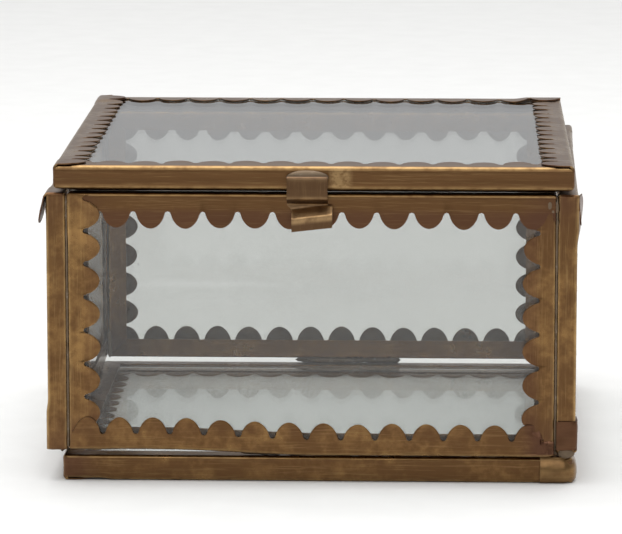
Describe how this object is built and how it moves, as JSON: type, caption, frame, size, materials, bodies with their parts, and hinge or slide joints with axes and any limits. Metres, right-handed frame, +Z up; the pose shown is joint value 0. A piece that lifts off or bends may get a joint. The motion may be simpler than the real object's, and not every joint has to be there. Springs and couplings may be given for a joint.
{
  "type": "jewelry box",
  "caption": "Square hinged keepsake box of clear glass panes bound in folded brass strip with scalloped edges and a sprung front clasp.",
  "frame": {"origin": "under the middle of the whole box, on the surface it stands on", "axes": "+X to the right as seen from the clasp, the clasp faces -Y, +Z up out of the lid"},
  "size_m": [0.123, 0.1276, 0.0749],
  "materials": {
    "antique_brass": "thin folded sheet, brushed and tarnished brown, brighter on its folds",
    "hinge_brass": "tarnished sheet and wire",
    "clasp_brass": "springy strip, rubbed brighter than the rest",
    "clear_glass": "clear float glass with a faint green-blue edge",
    "tin_solder": "dull tarnished solder"
  },
  "bodies": {
    "box": {"back_bottom_strip": "antique_brass", "back_glass": "clear_glass", "back_left_strip": "antique_brass", "back_right_strip": "antique_brass", "back_top_strip": "antique_brass", "base_back_strip": "antique_brass", "base_front_strip": "antique_brass", "base_glass": "clear_glass", "base_left_strip": "antique_brass", "base_right_strip": "antique_brass", "base_solder": "tin_solder", "corner_solder": "tin_solder", "front_bottom_strip": "antique_brass", "front_glass": "clear_glass", "front_left_strip": "antique_brass", "front_right_strip": "antique_brass", "front_top_strip": "antique_brass", "hinge_pin": "hinge_brass", "left_back_strip": "antique_brass", "left_bottom_strip": "antique_brass", "left_front_strip": "antique_brass", "left_glass": "clear_glass", "left_top_strip": "antique_brass", "right_back_strip": "antique_brass", "right_bottom_strip": "antique_brass", "right_front_strip": "antique_brass", "right_glass": "clear_glass", "right_top_strip": "antique_brass", "wall_hinge_leaf": "hinge_brass"},
    "lid": {"lid_back_strip": "antique_brass", "lid_front_strip": "antique_brass", "lid_glass": "clear_glass", "lid_hinge_leaf": "hinge_brass", "lid_left_strip": "antique_brass", "lid_right_strip": "antique_brass", "clasp_foot": "clasp_brass"},
    "clasp": {"clasp_spring": "clasp_brass"}
  },
  "joints": [
    {"name": "lid_hinge", "type": "hinge", "parent": "box", "child": "lid", "pos_m": [0, 0.0625, 0.0677], "axis": [-1, 0, 0], "range_deg": [0, 110]},
    {"name": "clasp_flex", "type": "hinge", "parent": "lid", "child": "clasp", "pos_m": [0, -0.06095, 0.07285], "axis": [-1, 0, 0], "range_deg": [0, 8], "stiffness_Nm_per_rad": 0.5}
  ]
}
